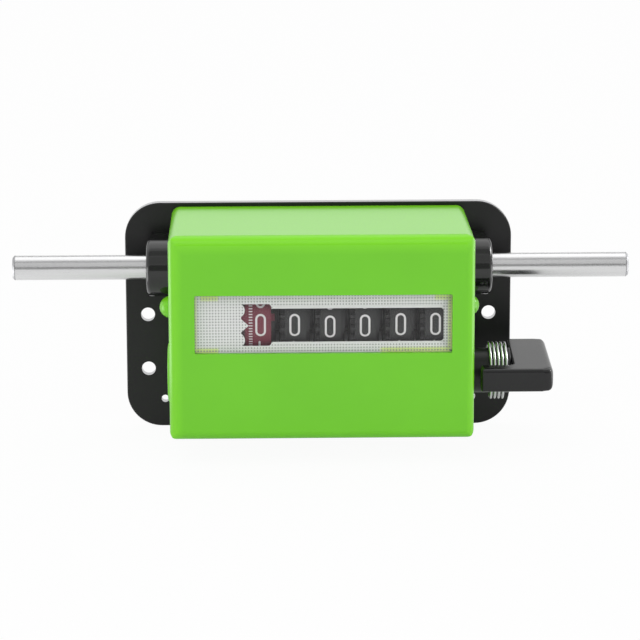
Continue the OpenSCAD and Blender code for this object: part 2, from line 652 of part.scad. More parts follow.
// A retaining clip: a ring with an open mouth and two reliefs
module clip(r) difference() {
    linear_extrude(clip_t) difference() {
        circle(r = r + 1.4);
        circle(r = r);
        translate([0, -r * 0.8]) square([r + 2, r * 1.6]);
        for (a = [120, 240]) translate(polar(r, a)) circle(r = 0.4);
    }
}
module axle_clips() color([0.25, 0.25, 0.27]) for (x = [-side_out - clip_t, side_out]) {
    on_axis(wheel_axis, x) clip(axle_d / 2 - 0.5);
    on_axis(transfer_axis, x) clip(transfer_d / 2 - 0.4);
}

// Reset
module reset_shaft() color([0.8, 0.8, 0.82]) difference() {
    grooved_rod(reset_axis, reset_d / 2, -axle_end, lever_bore_end - 0.2, reset_d / 2 - 0.5);
    comb_pin_holes();
}
module comb_pin_holes() for (x = comb_pin_x) translate([x, reset_axis.x - comb_r - 1, reset_axis.y])
    rotate([-90, 0, 0]) cylinder(r = cross_pin_d / 2, h = 2 * comb_r + 2);
module reset_comb() color([0.6, 0.61, 0.63]) difference() {
    union() {
        rod(reset_axis, comb_r, comb_left, comb_right);
        for (x = cam_x) on_axis([0, 0], x + cam_w / 2 - finger_w / 2 + 0.3) linear_extrude(finger_w)
            link(reset_axis, comb_r, reset_axis + polar(finger_l - finger_r, reset_to_wheels - stroke), finger_r);
    }
    rod(reset_axis, reset_d / 2, comb_left - 1, comb_right + 1);
    comb_pin_holes();
}
module comb_pins() color([0.25, 0.25, 0.27]) for (x = comb_pin_x)
    translate([x, reset_axis.x - comb_r, reset_axis.y]) rotate([-90, 0, 0])
        cylinder(r = cross_pin_d / 2, h = 2 * comb_r);
module lever_outline() {
    right = lever_x + arm_w;
    front = reset_axis.x - lever_front;
    rounded([lever_x, front], [right, reset_axis.x + lever_rear], 2);
    rounded([bar_left, front], [right - 3, front + bar_t], lever_round);
    translate([lever_x - 1.5, front + bar_t - 0.01]) difference() {
        square([2, 1.5]);
        translate([0, 1.5]) circle(r = 1.5);
    }
}
module turned_about(axis, angle) translate([0, axis.x, axis.y]) rotate([angle, 0, 0])
    translate([0, -axis.x, -axis.y]) children();
module reset_lever() color([0.12, 0.12, 0.125]) difference() {
    union() {
        turned_about(reset_axis, lever_tilt) intersection() {
            along_z(lever_low, lever_low + lever_h) lever_outline();
            on_axis([0, 0], bar_left - 1) linear_extrude(lever_x + arm_w - bar_left + 2)
                rounded([reset_axis.x - lever_front, lever_low], [reset_axis.x + lever_rear, lever_low + lever_h],
                    lever_round);
            along_y(reset_axis.x - lever_front - 1, reset_axis.x + lever_rear + 1) {
                rounded([bar_left, lever_low], [lever_x + arm_w - 3, lever_low + lever_h], lever_round);
                rounded([lever_x, lever_low], [lever_x + arm_w, lever_low + lever_h], lever_side_round);
            }
        }
        turned_about(reset_axis, lever_tilt) rod(reset_axis, lever_hub_r, lever_x, lever_bore_end + 1);
    }
    rod(reset_axis, reset_d / 2, lever_x - 1, lever_bore_end);
    translate([lever_screw_x, reset_axis.x, reset_axis.y - lever_hub_r - 1])
        cylinder(r = screw_d / 2, h = lever_hub_r + 1);
    rod(reset_axis + polar(coil_r, leg_angle), leg_hole_r, lever_x - 1, lever_x + leg_depth);
}
module lever_screw() color([0.25, 0.25, 0.27]) difference() {
    translate([lever_screw_x, reset_axis.x, reset_axis.y - lever_hub_r])
        cylinder(r = screw_d / 2, h = lever_hub_r - reset_d / 2);
    translate([lever_screw_x, reset_axis.x, reset_axis.y - lever_hub_r - 1])
        cylinder(r = 0.87, h = 2, $fn = 6);
}
module reset_shaft_clip() color([0.25, 0.25, 0.27])
    on_axis(reset_axis, -side_out - clip_t) clip(reset_d / 2 - 0.5);

// Reset spring: rings along its wire as [x, angle round the axis, angle of the wire to the axis]
coil_slope = atan(2 * PI * coil_r / coil_pitch);
bend_x = bend_r * sin(coil_slope);
bend_turn = bend_r * (1 - cos(coil_slope)) / coil_r * 180 / PI;
coil_sweep = coil_turns * 360 + leg_angle - 2 * bend_turn;
coil_end_x = lever_x - coil_lead - bend_x;
coil_start_x = coil_end_x - coil_pitch * coil_sweep / 360;
coil_steps = ceil(coil_sweep / 45);
spring_path = concat(
    [[spring_seat_x, 0, 0], [coil_start_x - bend_x - 0.2, 0, 0]],
    [for (i = [0 : 2]) let (u = coil_slope * i / 3)
        [coil_start_x - bend_x + bend_r * sin(u), bend_r * (1 - cos(u)) / coil_r * 180 / PI, u]],
    [for (i = [0 : coil_steps]) let (t = i / coil_steps)
        [coil_start_x + (coil_end_x - coil_start_x) * t, bend_turn + coil_sweep * t, coil_slope]],
    [for (i = [1 : 3]) let (u = coil_slope * (3 - i) / 3)
        [coil_end_x + bend_x - bend_r * sin(u), bend_turn + coil_sweep + bend_turn
            - bend_r * (1 - cos(u)) / coil_r * 180 / PI, u]],
    [[lever_x + leg_depth - 0.2, coil_turns * 360 + leg_angle, 0]]
);
wire_sides = 6;
function wire_centre(p) = [p[0], reset_axis.x + coil_r * cos(p[1]), reset_axis.y + coil_r * sin(p[1])];
function wire_ring(p) =
    let (out = [0, cos(p[1]), sin(p[1])], round_way = [0, -sin(p[1]), cos(p[1])],
         along = cos(p[2]) * [1, 0, 0] + sin(p[2]) * round_way, across = cross(along, out))
    [for (i = [0 : wire_sides - 1]) let (a = 360 * i / wire_sides)
        wire_centre(p) + wire_d / 2 * (cos(a) * out + sin(a) * across)];
function tube_faces(rings, n) = concat(
    [[for (i = [0 : n - 1]) i]],
    [for (r = [0 : rings - 2], i = [0 : n - 1]) let (j = (i + 1) % n)
        each [[r * n + i, (r + 1) * n + i, r * n + j], [r * n + j, (r + 1) * n + i, (r + 1) * n + j]]],
    [[for (i = [n - 1 : -1 : 0]) (rings - 1) * n + i]]
);
spring_points = [for (p = spring_path) wire_centre(p)];
// Points at least three quarters of a turn apart belong to different turns
spring_gap = min([for (i = [0 : len(spring_points) - 1], j = [i + 6 : 1 : len(spring_points) - 1])
    norm(spring_points[i] - spring_points[j])]) - wire_d;
module reset_spring() {
    echo("reset_spring least gap to itself in mm", spring_gap);
    color([0.82, 0.83, 0.85]) polyhedron([for (p = spring_path) each wire_ring(p)],
        tube_faces(len(spring_path), wire_sides));
}

base_plate();
bush(-1);  // bush_left
bush(1);  // bush_right
side_plate(-1);  // side_plate_left
side_plate(1);  // side_plate_right
side_plate_screws();
cover();
cover_screws();
window_pane();
window_mask();
main_shaft();
drive_gear();
drive_gear_screw();
shaft_collar();
collar_screw();
transfer_shaft();
idler_gear();
wheel_axle();
axle_spacer();
axle_clips();
for (k = [0 : wheels - 1]) number_wheel(k);
for (k = [0 : wheels - 1]) heart_cam(k);
for (k = [1 : wheels - 1]) carry_pinion(k);
reset_shaft();
reset_comb();
comb_pins();
reset_lever();
lever_screw();
reset_shaft_clip();
reset_spring();
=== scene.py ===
import math

import bmesh
import bpy
from mathutils import Matrix, Vector


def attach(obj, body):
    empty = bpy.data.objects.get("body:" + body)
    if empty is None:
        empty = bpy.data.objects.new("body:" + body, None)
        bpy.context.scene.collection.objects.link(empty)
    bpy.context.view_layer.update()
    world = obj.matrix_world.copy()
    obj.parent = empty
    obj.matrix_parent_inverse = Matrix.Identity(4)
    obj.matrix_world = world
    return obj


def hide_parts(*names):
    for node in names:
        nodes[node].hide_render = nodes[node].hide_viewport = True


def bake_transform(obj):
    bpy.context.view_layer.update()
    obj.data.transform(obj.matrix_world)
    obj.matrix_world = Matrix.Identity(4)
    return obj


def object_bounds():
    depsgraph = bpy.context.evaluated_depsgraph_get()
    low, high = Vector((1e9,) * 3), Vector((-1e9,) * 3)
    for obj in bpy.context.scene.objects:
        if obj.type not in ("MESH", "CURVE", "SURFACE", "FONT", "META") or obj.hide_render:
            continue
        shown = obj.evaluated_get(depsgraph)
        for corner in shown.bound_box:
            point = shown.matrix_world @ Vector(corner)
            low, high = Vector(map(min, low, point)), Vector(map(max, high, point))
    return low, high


# Fabric measuring meter: the looks of a shaft-driven counter with six number wheels.
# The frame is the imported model's own: X along the shaft, -Y to the reader, Z up. The camera, the lamps, the floor and
# the cards are placed in metres. Lengths of the part itself are in mm, and mm turns them into metres.

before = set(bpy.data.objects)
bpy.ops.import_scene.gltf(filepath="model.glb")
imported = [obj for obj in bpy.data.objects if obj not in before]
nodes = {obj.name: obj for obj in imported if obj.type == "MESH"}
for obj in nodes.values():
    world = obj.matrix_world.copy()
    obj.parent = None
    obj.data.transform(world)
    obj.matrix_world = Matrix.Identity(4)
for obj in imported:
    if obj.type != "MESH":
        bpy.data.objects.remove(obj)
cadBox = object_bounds()
mm = 0.001
print("frame loaded:", len(nodes), "nodes")


# Camera, floor and light

view = {
    "place": (-0.02058, -0.9700933, 0.2160331),
    "heading": 1.24987,  # degrees to the right of +Y
    "dip": 12.70787,  # degrees below the horizon
    "roll": -0.10825,
    "lens": 168.75,
    "sensor": 36.0,
    "clip": (0.05, 50),
}

studio = {
    "floorReach": 4.0,
    "floorDrop": 0.0002,
    "floorWhite": (0.86, 0.86, 0.86, 1),
    "floorGlow": 0.95,  # share of plain white that the camera sees
    "floorShade": 0.6,  # how much darker mirrors show the floor under and close before the part
    "shadeBox": {"X": (-75, 90), "Y": (-130, None)},  # mm
    "shadeSoft": 35,  # mm
    "worldLevel": 0.80,
    # name, place, size, power: soft lamps for the matt light, which mirrors don't show
    "lamps": [
        ("frontLamp", (-0.25, -1.0, 1.1), (1.2, 0.9), 4.5),
        ("sideLamp", (0.9, -1.1, 0.35), (0.8, 0.8), 2.0),
    ],
    # name, height angle of its lower and upper edge from the front, distance, grey: what mirrors show
    "cards": [
        ("lowCard", -3.8, 19.0, 0.80, 0.30),
        ("middleCard", 22.0, 53.0, 0.80, 0.72),
        ("highCard", 56.0, 78.0, 0.80, 0.50),
        ("roofCard", 90.0, 130.0, 0.75, 1.50),
        ("rearCard", 138.0, 150.0, 0.80, 0.30),
    ],
    "cardWidth": 1.6,
    # name, place, target, size, power: lamps that only the glossy rounded ends and corners show
    "glossLamps": [
        ("leftWing", (-0.14, -0.027, -0.008), (0.0, -0.027, 0.0), (0.052, 0.055), 0.026),
        ("rightWing", (0.15, -0.027, -0.008), (0.0, -0.027, 0.0), (0.052, 0.055), 0.019),
        ("cornerLamp", (0.708, 0.104, 0.439), (0.07, -0.05, -0.01), (0.26, 0.26), 3.2),
    ],
    "aim": (0.0, -0.014, 0.018),
}


def aimCamera():
    data = bpy.data.cameras.new("camera")
    data.lens = view["lens"]
    data.sensor_width = view["sensor"]
    data.clip_start, data.clip_end = view["clip"]
    camera = bpy.data.objects.new("camera", data)
    bpy.context.scene.collection.objects.link(camera)
    heading, dip, roll = (math.radians(view[k]) for k in ("heading", "dip", "roll"))
    stand = Matrix.Translation(view["place"])
    for angle, axis in ((-heading, "Z"), (math.pi / 2 - dip, "X"), (roll, "Z")):
        stand = stand @ Matrix.Rotation(angle, 4, axis)
    camera.matrix_world = stand
    bpy.context.scene.camera = camera


def addLamp(name, place, target, size, power):
    data = bpy.data.lights.new(name, "AREA")
    data.shape = "RECTANGLE"
    data.size, data.size_y = size
    data.energy = power
    lamp = bpy.data.objects.new(name, data)
    bpy.context.scene.collection.objects.link(lamp)
    lamp.location = place
    lamp.rotation_euler = (Vector(target) - Vector(place)).to_track_quat("-Z", "Y").to_euler()
    return lamp


def slopingCorners(low, high, distance):
    edges = []
    for angle in (math.radians(low), math.radians(high)):
        reach = distance / math.cos((math.radians(high - low)) / 2)
        edges.append(Vector((0, -reach * math.cos(angle), reach * math.sin(angle))) + Vector(studio["aim"]))
    side = Vector((studio["cardWidth"] / 2, 0, 0))
    return [edges[0] - side, edges[0] + side, edges[1] + side, edges[1] - side]


def addCard(name, corners, grey):
    mesh = bpy.data.meshes.new(name)
    mesh.from_pydata(corners, [], [(0, 1, 2, 3)])
    card = bpy.data.objects.new(name, mesh)
    bpy.context.scene.collection.objects.link(card)
    material = bpy.data.materials.new(name)
    material.use_nodes = True
    tree = material.node_tree
    tree.nodes.clear()
    glow = addNode(tree, "ShaderNodeEmission", {"Color": (grey, grey, grey, 1)})
    out = addNode(tree, "ShaderNodeOutputMaterial")
    tree.links.new(glow.outputs[0], out.inputs["Surface"])
    mesh.materials.append(material)
    for ray in ("camera", "diffuse", "shadow", "transmission"):
        setattr(card, "visible_" + ray, False)


def addNode(tree, kind, inputs=None, **settings):
    node = tree.nodes.new(kind)
    for key, value in settings.items():
        setattr(node, key, value)
    for key, value in (inputs or {}).items():
        node.inputs[key].default_value = value
    return node


def feed(tree, socket, value):
    if isinstance(value, bpy.types.NodeSocket):
        tree.links.new(value, socket)
    else:
        socket.default_value = value


def combine(tree, operation, *values):
    node = addNode(tree, "ShaderNodeMath", operation=operation)
    for socket, value in zip(node.inputs, values):
        feed(tree, socket, value)
    return node.outputs[0]


def between(tree, value, start, stop):
    node = addNode(tree, "ShaderNodeMapRange", {"From Min": start, "From Max": stop})
    tree.links.new(value, node.inputs["Value"])
    return node.outputs["Result"]


def insideBox(tree, place, box, soft):
    share = 1.0
    for axis, (low, high) in box.items():
        for edge, turn in ((low, 1), (high, -1)):
            if edge is not None:
                ramp = between(tree, place.outputs[axis], (edge - turn * soft) * mm, (edge + turn * soft) * mm)
                share = combine(tree, "MULTIPLY", share, ramp)
    return share


def blend(tree, share, low, high):
    colours = isinstance(high, tuple) or getattr(high, "type", "") == "RGBA"
    mix = addNode(tree, "ShaderNodeMix", data_type="RGBA" if colours else "FLOAT")
    # the Mix node has one pair of sockets for each kind of value
    first = 6 if colours else 2
    for socket, value in ((mix.inputs[0], share), (mix.inputs[first], low), (mix.inputs[first + 1], high)):
        feed(tree, socket, (*value, 1) if isinstance(value, tuple) else value)
    return mix.outputs[2 if colours else 0]


def objectPlace(tree):
    place = addNode(tree, "ShaderNodeTexCoord")
    split = addNode(tree, "ShaderNodeSeparateXYZ")
    tree.links.new(place.outputs["Object"], split.inputs[0])
    return split


def seenRays(tree):
    rays = addNode(tree, "ShaderNodeLightPath").outputs
    both = combine(tree, "MAXIMUM", rays["Is Camera Ray"], rays["Is Glossy Ray"])
    return combine(tree, "MAXIMUM", both, rays["Is Transmission Ray"])


def makeWorld():
    world = bpy.data.worlds.new("studio")
    bpy.context.scene.world = world
    world.use_nodes = True
    tree = world.node_tree
    tree.nodes.clear()
    level = studio["worldLevel"]
    lit = addNode(tree, "ShaderNodeBackground", {"Color": (level, level, level, 1)})
    seen = addNode(tree, "ShaderNodeBackground", {"Color": (1, 1, 1, 1)})
    mix = addNode(tree, "ShaderNodeMixShader")
    out = addNode(tree, "ShaderNodeOutputWorld")
    tree.links.new(seenRays(tree), mix.inputs[0])
    tree.links.new(lit.outputs[0], mix.inputs[1])
    tree.links.new(seen.outputs[0], mix.inputs[2])
    tree.links.new(mix.outputs[0], out.inputs["Surface"])


def makeFloor():
    reach = studio["floorReach"]
    height = cadBox[0].z - studio["floorDrop"]
    mesh = bpy.data.meshes.new("floor")
    corners = [(-reach, -reach, height), (reach, -reach, height), (reach, reach, height), (-reach, reach, height)]
    mesh.from_pydata(corners, [], [(0, 1, 2, 3)])
    floor = bpy.data.objects.new("floor", mesh)
    bpy.context.scene.collection.objects.link(floor)
    material = bpy.data.materials.new("floorWhite")
    material.use_nodes = True
    tree = material.node_tree
    tree.nodes.clear()
    paper = addNode(tree, "ShaderNodeBsdfDiffuse", {"Color": studio["floorWhite"]})
    glow = addNode(tree, "ShaderNodeEmission", {"Color": (1, 1, 1, 1), "Strength": 1.0})
    path = addNode(tree, "ShaderNodeLightPath")
    near = insideBox(tree, objectPlace(tree), studio["shadeBox"], studio["shadeSoft"])
    shade = combine(tree, "MULTIPLY", near, studio["floorShade"])
    shade = combine(tree, "MULTIPLY", shade, combine(tree, "SUBTRACT", 1.0, path.outputs["Is Camera Ray"]))
    share = combine(tree, "MULTIPLY", combine(tree, "SUBTRACT", studio["floorGlow"], shade), seenRays(tree))
    mix = addNode(tree, "ShaderNodeMixShader")
    out = addNode(tree, "ShaderNodeOutputMaterial")
    tree.links.new(share, mix.inputs[0])
    tree.links.new(paper.outputs[0], mix.inputs[1])
    tree.links.new(glow.outputs[0], mix.inputs[2])
    tree.links.new(mix.outputs[0], out.inputs["Surface"])
    mesh.materials.append(material)


bpy.context.scene.view_settings.view_transform = "Standard"
aimCamera()
makeWorld()
makeFloor()
for name, place, *rest in studio["lamps"]:
    addLamp(name, place, studio["aim"], *rest).visible_glossy = False
for lamp in studio["glossLamps"]:
    addLamp(*lamp).visible_diffuse = False
for name, *corners, grey in studio["cards"]:
    addCard(name, slopingCorners(*corners), grey)
print("stage set")


# Finishes that more than one material uses

def newGroup(name, inputs, outputs):
    group = bpy.data.node_groups.new(name, "ShaderNodeTree")
    for label, kind, value in inputs:
        socket = group.interface.new_socket(label, in_out="INPUT", socket_type=kind)
        socket.default_value = value
    for label, kind in outputs:
        group.interface.new_socket(label, in_out="OUTPUT", socket_type=kind)
    return group, group.nodes.new("NodeGroupInput"), group.nodes.new("NodeGroupOutput")


noise = {"span": (0.3, 0.7), "grainRoughness": 0.6, "cloudDetail": 2.0}


def spreadAbout(tree, value, spread, middle):
    low, high = noise["span"]
    span = addNode(tree, "ShaderNodeMapRange", {"From Min": low, "From Max": high})
    tree.links.new(value, span.inputs["Value"])
    for end, operation in (("To Min", "SUBTRACT"), ("To Max", "ADD")):
        feed(tree, span.inputs[end], combine(tree, operation, middle, spread))
    return span.outputs["Result"]


def makeSurfaceGroup(name, stretch, detail):
    group, entry, leave = newGroup(
        name,
        [
            ("Colour", "NodeSocketColor", (0.5, 0.5, 0.5, 1)),
            ("Tone Spread", "NodeSocketFloat", 0.03),
            ("Roughness", "NodeSocketFloat", 0.4),
            ("Roughness Spread", "NodeSocketFloat", 0.05),
            ("Grain Scale", "NodeSocketFloat", 900.0),
            ("Cloud Scale", "NodeSocketFloat", 40.0),
        ],
        [("Colour", "NodeSocketColor"), ("Roughness", "NodeSocketFloat"), ("Height", "NodeSocketFloat")],
    )
    place = addNode(group, "ShaderNodeTexCoord")
    mapping = addNode(group, "ShaderNodeMapping", {"Scale": stretch})
    grain = addNode(group, "ShaderNodeTexNoise", {"Detail": detail, "Roughness": noise["grainRoughness"]})
    cloud = addNode(group, "ShaderNodeTexNoise", {"Detail": noise["cloudDetail"]})
    group.links.new(place.outputs["Object"], mapping.inputs["Vector"])
    for texture, scale in ((grain, "Grain Scale"), (cloud, "Cloud Scale")):
        group.links.new(mapping.outputs[0], texture.inputs["Vector"])
        group.links.new(entry.outputs[scale], texture.inputs["Scale"])
    tone = spreadAbout(group, cloud.outputs["Fac"], entry.outputs["Tone Spread"], 1.0)
    tint = addNode(group, "ShaderNodeVectorMath", operation="SCALE")
    group.links.new(entry.outputs["Colour"], tint.inputs[0])
    group.links.new(tone, tint.inputs["Scale"])
    rough = spreadAbout(group, grain.outputs["Fac"], entry.outputs["Roughness Spread"], entry.outputs["Roughness"])
    group.links.new(tint.outputs[0], leave.inputs["Colour"])
    group.links.new(rough, leave.inputs["Roughness"])
    group.links.new(grain.outputs["Fac"], leave.inputs["Height"])
    return group


mouldedSkin = makeSurfaceGroup("mouldedSkin", (1, 1, 1), 3.0)
drawnSkin = makeSurfaceGroup("drawnSkin", (0.03, 1, 1), 2.0)


def makeMaterial(name, look):
    material = bpy.data.materials.new(name)
    material.use_nodes = True
    tree = material.node_tree
    shader = tree.nodes["Principled BSDF"]
    for socket, value in look.get("shader", {}).items():
        shader.inputs[socket].default_value = value
    skin = addNode(tree, "ShaderNodeGroup", node_tree=look.get("skin", mouldedSkin))
    skin.inputs["Colour"].default_value = (*look["colour"], 1)
    for socket in ("Tone Spread", "Roughness", "Roughness Spread", "Grain Scale", "Cloud Scale"):
        if socket in look:
            skin.inputs[socket].default_value = look[socket]
    depth = look.get("grainDepth", 0.03) * mm
    bump = addNode(tree, "ShaderNodeBump", {"Strength": look.get("bump", 0.2), "Distance": depth})
    tree.links.new(skin.outputs["Height"], bump.inputs["Height"])
    tree.links.new(bump.outputs[0], shader.inputs["Normal"])
    tree.links.new(skin.outputs["Colour"], shader.inputs["Base Color"])
    tree.links.new(skin.outputs["Roughness"], shader.inputs["Roughness"])
    return material


def dress(material, *names):
    for name in names:
        mesh = nodes[name].data
        mesh.materials.clear()
        mesh.materials.append(material)


# Casing

coverGreen = makeMaterial("coverGreen", {
    "colour": (0.152, 0.575, 0.010),
    "Tone Spread": 0.02,
    "Roughness": 0.24,
    "Roughness Spread": 0.03,
    "Grain Scale": 1400.0,
    "grainDepth": 0.02,
    "shader": {"Specular IOR Level": 0.5},
})
blackEnamel = makeMaterial("blackEnamel", {
    "colour": (0.008, 0.008, 0.0085),
    "Tone Spread": 0.12,
    "Roughness": 0.34,
    "Roughness Spread": 0.05,
    "Grain Scale": 1100.0,
    "grainDepth": 0.02,
    "shader": {"Specular IOR Level": 0.36, "Coat Roughness": 0.10},
})
blackMoulding = makeMaterial("blackMoulding", {
    "colour": (0.008, 0.008, 0.0085),
    "Tone Spread": 0.08,
    "Roughness": 0.22,
    "Roughness Spread": 0.03,
    "Grain Scale": 2200.0,
    "grainDepth": 0.006,
    "shader": {"Specular IOR Level": 0.42},
})

# painted highlight: the cover's green turns paler towards its top, left and right edges, standing in for light caught
# on the rounded edges
coverEdgeHighlight = {
    "highlightGreen": (0.225, 0.740, 0.012),
    "top": (30.5, 35.5),  # where the brighter edge begins and is full
    "left": (-43.5, -47.5),
    "right": (45.5, 48.0),
    "share": 0.85,
}


# paints the edge highlight into the cover's base colour
def paintEdgeHighlight(material):
    tree = material.node_tree
    place = objectPlace(tree)
    colour = tree.nodes["Principled BSDF"].inputs["Base Color"]
    share = 0.0
    for axis, side in (("Z", "top"), ("X", "left"), ("X", "right")):
        start, stop = coverEdgeHighlight[side]
        share = combine(tree, "MAXIMUM", share, between(tree, place.outputs[axis], start * mm, stop * mm))
    share = combine(tree, "MULTIPLY", share, coverEdgeHighlight["share"])
    feed(tree, colour, blend(tree, share, colour.links[0].from_socket, coverEdgeHighlight["highlightGreen"]))


# the plate's cut edges and hole walls are bare metal, and the housings in front of it are glossier
plateWear = {
    "bare": (0.50, 0.50, 0.51),
    "bareRoughness": 0.30,
    "bareFacing": (0.6, 0.3),  # the normal's share along Y, where bare metal begins and is full
    "bareBox": {"Y": (-3.38, None)},
    "bareSoft": 0.03,
    "housings": {"Y": (None, -4.1), "Z": (6.0, None)},
    "housingSoft": 0.2,
    "housingGloss": 0.5,
    "housingRoughness": 0.15,
}


def wearPlate(material):
    tree = material.node_tree
    shader = tree.nodes["Principled BSDF"]
    place = objectPlace(tree)
    normal = addNode(tree, "ShaderNodeSeparateXYZ")
    tree.links.new(place.inputs[0].links[0].from_node.outputs["Normal"], normal.inputs[0])
    level = combine(tree, "ABSOLUTE", normal.outputs["Y"])
    turned = between(tree, level, *plateWear["bareFacing"])
    bare = combine(tree, "MULTIPLY", turned, insideBox(tree, place, plateWear["bareBox"], plateWear["bareSoft"]))
    changes = (("Base Color", plateWear["bare"]), ("Metallic", 1.0), ("Roughness", plateWear["bareRoughness"]))
    for socket, value in changes:
        links = shader.inputs[socket].links
        feed(tree, shader.inputs[socket], blend(tree, bare, links[0].from_socket if links else 0.0, value))
    gloss = insideBox(tree, place, plateWear["housings"], plateWear["housingSoft"])
    rough = shader.inputs["Roughness"]
    feed(tree, rough, blend(tree, gloss, rough.links[0].from_socket, plateWear["housingRoughness"]))
    feed(tree, shader.inputs["Coat Weight"], combine(tree, "MULTIPLY", gloss, plateWear["housingGloss"]))


paintEdgeHighlight(coverGreen)
wearPlate(blackEnamel)
dress(coverGreen, "cover")
dress(blackEnamel, "base_plate")
print("casing dressed")


# Metals

groundSteel = makeMaterial("groundSteel", {
    "skin": drawnSkin,
    "colour": (0.70, 0.70, 0.705),
    "Tone Spread": 0.04,
    "Roughness": 0.25,
    "Roughness Spread": 0.04,
    "Grain Scale": 3000.0,
    "Cloud Scale": 600.0,
    "grainDepth": 0.01,
    "shader": {"Metallic": 1.0},
})
axleSteel = makeMaterial("axleSteel", {
    "skin": drawnSkin,
    "colour": (0.55, 0.55, 0.57),
    "Roughness": 0.32,
    "Grain Scale": 2600.0,
    "shader": {"Metallic": 1.0},
})
zincSteel = makeMaterial("zincSteel", {
    "colour": (0.56, 0.57, 0.59),
    "Tone Spread": 0.10,
    "Roughness": 0.38,
    "Roughness Spread": 0.08,
    "Cloud Scale": 160.0,
    "shader": {"Metallic": 1.0},
})
darkSteel = makeMaterial("darkSteel", {
    "colour": (0.10, 0.10, 0.105),
    "Roughness": 0.42,
    "shader": {"Metallic": 1.0},
})
springSteel = makeMaterial("springSteel", {
    "colour": (0.62, 0.62, 0.63),
    "Roughness": 0.16,
    "Roughness Spread": 0.04,
    "Grain Scale": 4000.0,
    "grainDepth": 0.005,
    "shader": {"Metallic": 1.0},
})
sinteredBronze = makeMaterial("sinteredBronze", {
    "colour": (0.46, 0.31, 0.15),
    "Tone Spread": 0.08,
    "Roughness": 0.45,
    "Grain Scale": 5200.0,
    "grainDepth": 0.05,
    "shader": {"Metallic": 1.0},
})

# the chamfers on the shaft's ends are turned, not ground
shaftEnds = {"ground": (-98.5, 99.7), "soft": 0.1, "dull": (0.40, 0.40, 0.41), "roughness": 0.5}


def dullEnds(material):
    tree = material.node_tree
    ground = insideBox(tree, objectPlace(tree), {"X": shaftEnds["ground"]}, shaftEnds["soft"])
    inputs = tree.nodes["Principled BSDF"].inputs
    for socket, value in (("Base Color", shaftEnds["dull"]), ("Roughness", shaftEnds["roughness"])):
        bright = inputs[socket].links[0].from_socket
        dulled = blend(tree, combine(tree, "SUBTRACT", 1.0, ground), bright, value)
        feed(tree, inputs[socket], dulled)


dullEnds(groundSteel)
dress(groundSteel, "main_shaft")
dress(axleSteel, "transfer_shaft", "wheel_axle", "reset_shaft", "shaft_collar")
dress(zincSteel, "side_plate_left", "side_plate_right", "side_plate_screws", "cover_screws", "reset_comb")
dress(darkSteel, "drive_gear_screw", "collar_screw", "axle_clips", "reset_shaft_clip", "comb_pins", "lever_screw")
dress(sinteredBronze, "bush_left", "bush_right", "axle_spacer")
print("metals dressed")


# Wheels, gears and figures

orders = ["tenths", "units", "tens", "hundreds", "thousands", "ten_thousands"]

wheelBlack = makeMaterial("wheelBlack", {
    "colour": (0.020, 0.020, 0.021),
    "Tone Spread": 0.04,
    "Roughness": 0.48,
    "Roughness Spread": 0.02,
    "Grain Scale": 1500.0,
    "bump": 0.05,
    "grainDepth": 0.005,
})
blackAcetal = makeMaterial("blackAcetal", {
    "colour": (0.022, 0.022, 0.023),
    "Tone Spread": 0.05,
    "Roughness": 0.42,
    "Grain Scale": 1800.0,
    "bump": 0.05,
    "grainDepth": 0.005,
})
wheelRed = makeMaterial("wheelRed", {
    "colour": (0.190, 0.022, 0.045),
    "Tone Spread": 0.04,
    "Roughness": 0.45,
    "Roughness Spread": 0.02,
    "Grain Scale": 1500.0,
    "bump": 0.05,
    "grainDepth": 0.005,
})
acetal = makeMaterial("acetal", {
    "colour": (0.80, 0.78, 0.71),
    "Roughness": 0.40,
    "Grain Scale": 2000.0,
    "shader": {"Subsurface Weight": 0.1, "Subsurface Scale": 0.001},
})

figures = {
    "height": 7.2,
    "width": 3.35,
    "stroke": 0.65,
    "proud": 0.035,  # how far the ink stands out of the drum
    "sunk": 0.05,
    "step": 0.4,  # longest stretch of stroke without a bend
    "overlap": 0.004,  # how far a figure's second stroke stands above its first
    "cornerRound": 0.3,
    "roundSteps": 5,
    "sharpest": 150,  # degrees; a bend flatter than this keeps its corner
    "endSteps": 6,
    "wheelX": [-19.2, -8.5, 2.63, 13.62, 24.82, 35.78],
    "restHeights": [7.34, 7.30, 6.70, 6.95, 7.32, 7.34],  # middle of the zero that each wheel shows at rest
    "axle": (-37.6, 7.2),  # along Y and Z
    "drumRadius": 14.3,
}

# only the drum and a small patch on the lock disc beside it are red, and the drum's left rim is darker away from its
# front
redZone = {
    "drum": {"X": (-26.6, -15.9)},
    "drumSoft": 0.02,  # half the width over which the colour changes
    "tooth": {"X": (-16.0, -14.2), "Z": (7.9, 10.2), "Y": (None, figures["axle"][0])},
    "toothSoft": 0.05,
    "rim": {"X": (None, -24.1)},
    "rimSoft": 0.25,
    "rimFront": {"Z": (6.2, 12.4)},
    "rimFrontSoft": 0.9,
    "rimShare": 0.85,
    "black": (0.020, 0.020, 0.021),
}


def redDrumOnly(material):
    tree = material.node_tree
    place = objectPlace(tree)
    drum, tooth, rim, front = (
        insideBox(tree, place, redZone[zone], redZone[zone + "Soft"]) for zone in ("drum", "tooth", "rim", "rimFront")
    )
    away = combine(tree, "MULTIPLY", combine(tree, "SUBTRACT", 1.0, front), redZone["rimShare"])
    share = combine(tree, "MAXIMUM", drum, tooth)
    share = combine(tree, "SUBTRACT", share, combine(tree, "MULTIPLY", rim, away))
    colour = tree.nodes["Principled BSDF"].inputs["Base Color"]
    feed(tree, colour, blend(tree, share, redZone["black"], colour.links[0].from_socket))


# painted fill light: the wheels' sides and tooth gaps below the drum get a paler black that lifts the shade in the gaps
# between the wheels
recessFillLight = {
    "colour": (0.034, 0.034, 0.035),
    "depth": (0.1, 0.5),  # below the drum, where the paler sides and tooth gaps begin and are full
}
